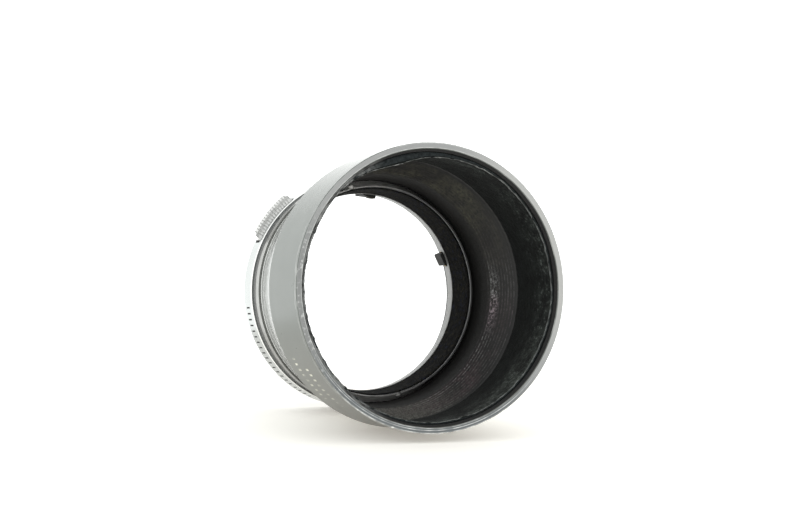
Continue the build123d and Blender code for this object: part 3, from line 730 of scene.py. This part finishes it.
def frayed_threads(material):
    """Loose pile and threads along the cut front edge of the velvet, leaning into the mouth."""
    draw = random.Random(17)
    thread_count = 900
    steps = 4
    edge_r = 27.45 * MM
    vertices = []
    faces = []
    for _ in range(thread_count):
        angle = draw.uniform(0, 2 * math.pi)
        length = draw.uniform(0.15, 0.55) * MM
        thick = draw.uniform(0.018, 0.035) * MM
        lean = draw.uniform(-0.5, 0.9)
        sway = draw.uniform(-0.8, 0.8)
        root_y = FRONT_Y + draw.uniform(0.9, 2.2) * MM
        start = len(vertices)
        # Each thread reaches inward and forward, sways to one side and thins towards its tip.
        for k in range(steps + 1):
            t = k / steps
            radius = edge_r - length * t * (0.45 + lean * t * 0.5)
            y = root_y - length * t * 0.7 * (1 - 0.4 * t)
            turn = angle + sway * length * t * t / edge_r
            width = thick * (1 - 0.75 * t)
            for side in range(3):
                around = 2 * math.pi * side / 3
                r = radius + width * math.cos(around)
                vertices.append((r * math.cos(turn), y + width * math.sin(around), r * math.sin(turn)))
        for k in range(steps):
            for side in range(3):
                a = start + 3 * k + side
                b = start + 3 * k + (side + 1) % 3
                faces.append((a, b, b + 3, a + 3))
        last = start + 3 * steps
        faces.append((start + 2, start + 1, start))
        faces.append((last, last + 1, last + 2))
    piece = new_piece("velvet_fray", vertices, faces)
    layer = piece.data.uv_layers.new(name="cloth")
    for loop in layer.data:
        loop.uv = (0.0, 0.5)
    piece.data.shade_smooth()
    piece.data.update()
    piece.data.materials.append(material)
    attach(piece, "hood")
    return piece


def felt_seal():
    """Felt glued in the bore: cone-shaped inside, fuzzy, with a soft front corner."""
    front_r = 21.90 * MM
    rear_r = 21.34 * MM
    rows = 34
    fuzz_waves = ((0.05 * MM, 1.1 * MM, 8), (0.045 * MM, 0.4 * MM, 9))

    def outline(angle):
        points = []
        for k in range(rows + 1):
            v = k / rows
            y = FELT_FRONT_Y + (FELT_REAR_Y - FELT_FRONT_Y) * v
            radius = front_r + (rear_r - front_r) * v
            fuzz = ripples(angle, y, radius, *fuzz_waves)
            corner = 0.10 * MM * bell(y - FELT_FRONT_Y, 0.35 * MM)
            points.append((radius - fuzz + corner, y, v))
        points.append((FELT_OUTER_R, FELT_REAR_Y, 1.0))
        points.append((FELT_OUTER_R, FELT_FRONT_Y, 0.0))
        return points

    piece = ring_mesh("felt_seal", 900, outline)
    piece.data.materials.append(felt())
    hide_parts("felt_ring")
    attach(piece, "hood")
    return piece


# ---- Stage, light and camera ----
def pale_floor():
    """Plain white table top, which touches the hood where it lies, with a painted glow that is brighter to
    the right and warms the shadow.
    """
    slope = (REAR_CONTACT[1] - FRONT_CONTACT[1]) / (REAR_CONTACT[0] - FRONT_CONTACT[0])
    outline = (
        (-TABLE_HALF_WIDTH, TABLE_FRONT_Y),
        (TABLE_HALF_WIDTH, TABLE_FRONT_Y),
        (TABLE_HALF_WIDTH, TABLE_REAR_Y),
        (-TABLE_HALF_WIDTH, TABLE_REAR_Y),
    )
    corners = []
    for x, y in outline:
        corners.append((x, y, FRONT_CONTACT[1] + slope * (y - FRONT_CONTACT[0])))
    floor = new_piece("table_top", corners, [(0, 1, 2, 3)])
    f = Finish("white_table", Roughness=0.8, Specular_IOR_Level=0.1)
    pale = f.blend(f.noise(12, detail=2, seed=101), (0.865, 0.86, 0.84), (0.875, 0.87, 0.855))
    # The table top glows, more to the right: painted light, whose warm colour also tints the cast shadow.
    lit = f.stretch(f.x, -25 * MM, 25 * MM, 0.26, 0.41)
    material = f.finish(Base_Color=pale, Emission_Color=(0.91, 0.855, 0.77), Emission_Strength=lit)
    floor.data.materials.append(material)
    return floor


def soft_light():
    """White surroundings, brighter behind the hood and to the left, and dimmer overhead."""
    scene = bpy.context.scene
    world = bpy.data.worlds.new("white_room")
    scene.world = world
    world.use_nodes = True
    nodes = world.node_tree.nodes
    links = world.node_tree.links
    background = nodes["Background"]
    direction = nodes.new("ShaderNodeSeparateXYZ")
    links.new(nodes.new("ShaderNodeTexCoord").outputs["Generated"], direction.inputs[0])

    def ramp(axis, numbers, interpolation="LINEAR"):
        """Strength by the direction along an axis: numbers are (from, to) and the strength at both."""
        node = nodes.new("ShaderNodeMapRange")
        node.interpolation_type = interpolation
        links.new(direction.outputs[axis], node.inputs["Value"])
        for socket, number in zip(RANGE_SOCKETS, numbers):
            node.inputs[socket].default_value = number
        return node.outputs["Result"]

    strength = ramp("Y", (-0.75, 0.55, 1.02, 1.68), "SMOOTHSTEP")
    for factor in (ramp("Z", (0.0, 1.0, 1.0, 0.75)), ramp("X", (-1.0, 1.0, 1.25, 1.00))):
        product = nodes.new("ShaderNodeMath")
        product.operation = "MULTIPLY"
        links.new(strength, product.inputs[0])
        links.new(factor, product.inputs[1])
        strength = product.outputs[0]
    links.new(strength, background.inputs["Strength"])
    background.inputs["Color"].default_value = (0.985, 1.0, 0.985, 1.0)
    scene.view_settings.view_transform = "Standard"
    scene.view_settings.look = "None"


def camera():
    """Camera in front and a little to the left, level with the hood."""
    data = bpy.data.cameras.new("camera")
    data.sensor_width = CAMERA_SENSOR
    data.lens = CAMERA_LENS
    data.clip_start = 0.01
    data.clip_end = 50.0
    right = CAMERA_LOOK.cross(CAMERA_UP).normalized()
    up = right.cross(CAMERA_LOOK)
    turn = Matrix((right, up, -CAMERA_LOOK)).transposed()
    piece = bpy.data.objects.new("camera", data)
    piece.matrix_world = Matrix.Translation(CAMERA_PLACE) @ turn.to_4x4()
    bpy.context.scene.collection.objects.link(piece)
    bpy.context.scene.camera = piece


camera()
soft_light()
pale_floor()
dress_nodes()
sleeve = velvet_lining()
fray = frayed_threads(sleeve.data.materials[0])
felt_seal()
